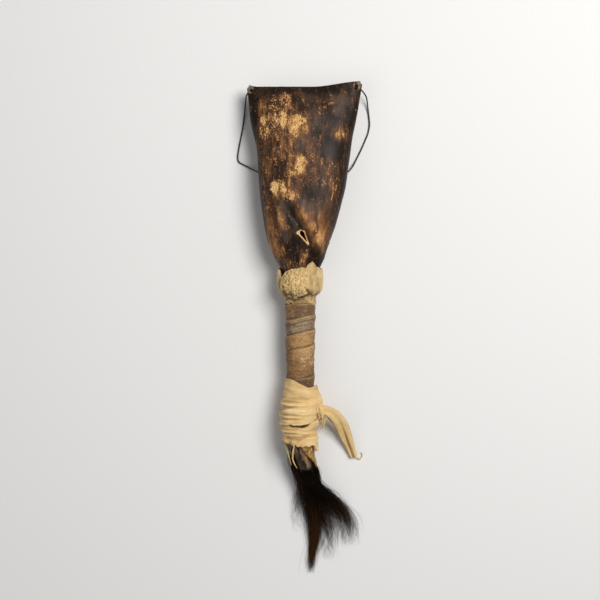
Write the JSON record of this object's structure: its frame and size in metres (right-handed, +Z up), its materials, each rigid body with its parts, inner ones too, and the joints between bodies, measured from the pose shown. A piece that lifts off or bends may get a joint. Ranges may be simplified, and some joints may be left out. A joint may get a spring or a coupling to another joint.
{
  "type": "hide rattle",
  "caption": "Hand rattle with a folded rawhide head holding loose pebbles, a wound hide grip, a pale hide wrap with a free end, and a hair tassel.",
  "frame": {"origin": "on the surface that the rattle lies on, under the middle of its bounding box, loose cords left out", "axes": "+Y along the handle towards the head, +Z up out of the rattle's front, +X to the right seen from the front"},
  "size_m": [0.0807, 0.297, 0.032],
  "materials": {
    "rawhide": "smoked rawhide, worn pale in patches",
    "wood": "peeled stick",
    "sinew": "dried sinew",
    "pale_hide": "soft brain-tanned hide",
    "grip_hide": "handled brown hide",
    "tail_hide": "dried skin",
    "hair": "tail hair",
    "dark_cord": "dark twisted cord",
    "stone": "dull stone"
  },
  "bodies": {
    "rattle": {"rawhide_head": "rawhide", "handle_stick": "wood", "neck_lashing": "sinew", "collar_tie": "sinew", "grip_wrap": "grip_hide", "tail_skin": "tail_hide", "tail_core": "tail_hide", "neck_collar": "pale_hide", "butt_wrap": "pale_hide", "wrap_knot": "pale_hide", "fringe_strip_1": "pale_hide", "fringe_strip_2": "pale_hide", "loose_cord_left": "dark_cord", "loose_cord_right": "dark_cord", "side_lacing_left": "dark_cord", "side_lacing_right": "dark_cord"},
    "tassel": {"hair_main": "hair", "hair_lock_right_upper": "hair", "hair_lock_right_lower": "hair", "hair_lock_left": "hair"},
    "strap": {"strap_end": "pale_hide"},
    "pebble_1": {"pebble_1": "stone"},
    "pebble_2": {"pebble_2": "stone"},
    "pebble_3": {"pebble_3": "stone"},
    "pebble_4": {"pebble_4": "stone"},
    "pebble_5": {"pebble_5": "stone"},
    "pebble_6": {"pebble_6": "stone"}
  },
  "joints": [
    {"name": "tassel_swing", "type": "hinge", "parent": "rattle", "child": "tassel", "pos_m": [0.0005, -0.0911, 0.007], "axis": [0, 0, 1], "range_deg": [-20, 20]},
    {"name": "strap_swing", "type": "hinge", "parent": "rattle", "child": "strap", "pos_m": [0.01753, -0.0492, 0.0142], "axis": [0, 0, 1], "range_deg": [-12, 30]},
    {"name": "pebble_1_roll", "type": "slide", "parent": "rattle", "child": "pebble_1", "axis": [0, 1, 0], "range_m": [-0.0095, 0.0085]},
    {"name": "pebble_2_roll", "type": "slide", "parent": "rattle", "child": "pebble_2", "axis": [0, 1, 0], "range_m": [-0.026, 0.015]},
    {"name": "pebble_3_roll", "type": "slide", "parent": "rattle", "child": "pebble_3", "axis": [0, 1, 0], "range_m": [-0.048, 0.0065]},
    {"name": "pebble_4_roll", "type": "slide", "parent": "rattle", "child": "pebble_4", "axis": [0, 1, 0], "range_m": [-0.035, 0.016]},
    {"name": "pebble_5_roll", "type": "slide", "parent": "rattle", "child": "pebble_5", "axis": [0, 1, 0], "range_m": [-0.0095, 0.017]},
    {"name": "pebble_6_roll", "type": "slide", "parent": "rattle", "child": "pebble_6", "axis": [0, 1, 0], "range_m": [-0.006, 0.007]}
  ]
}
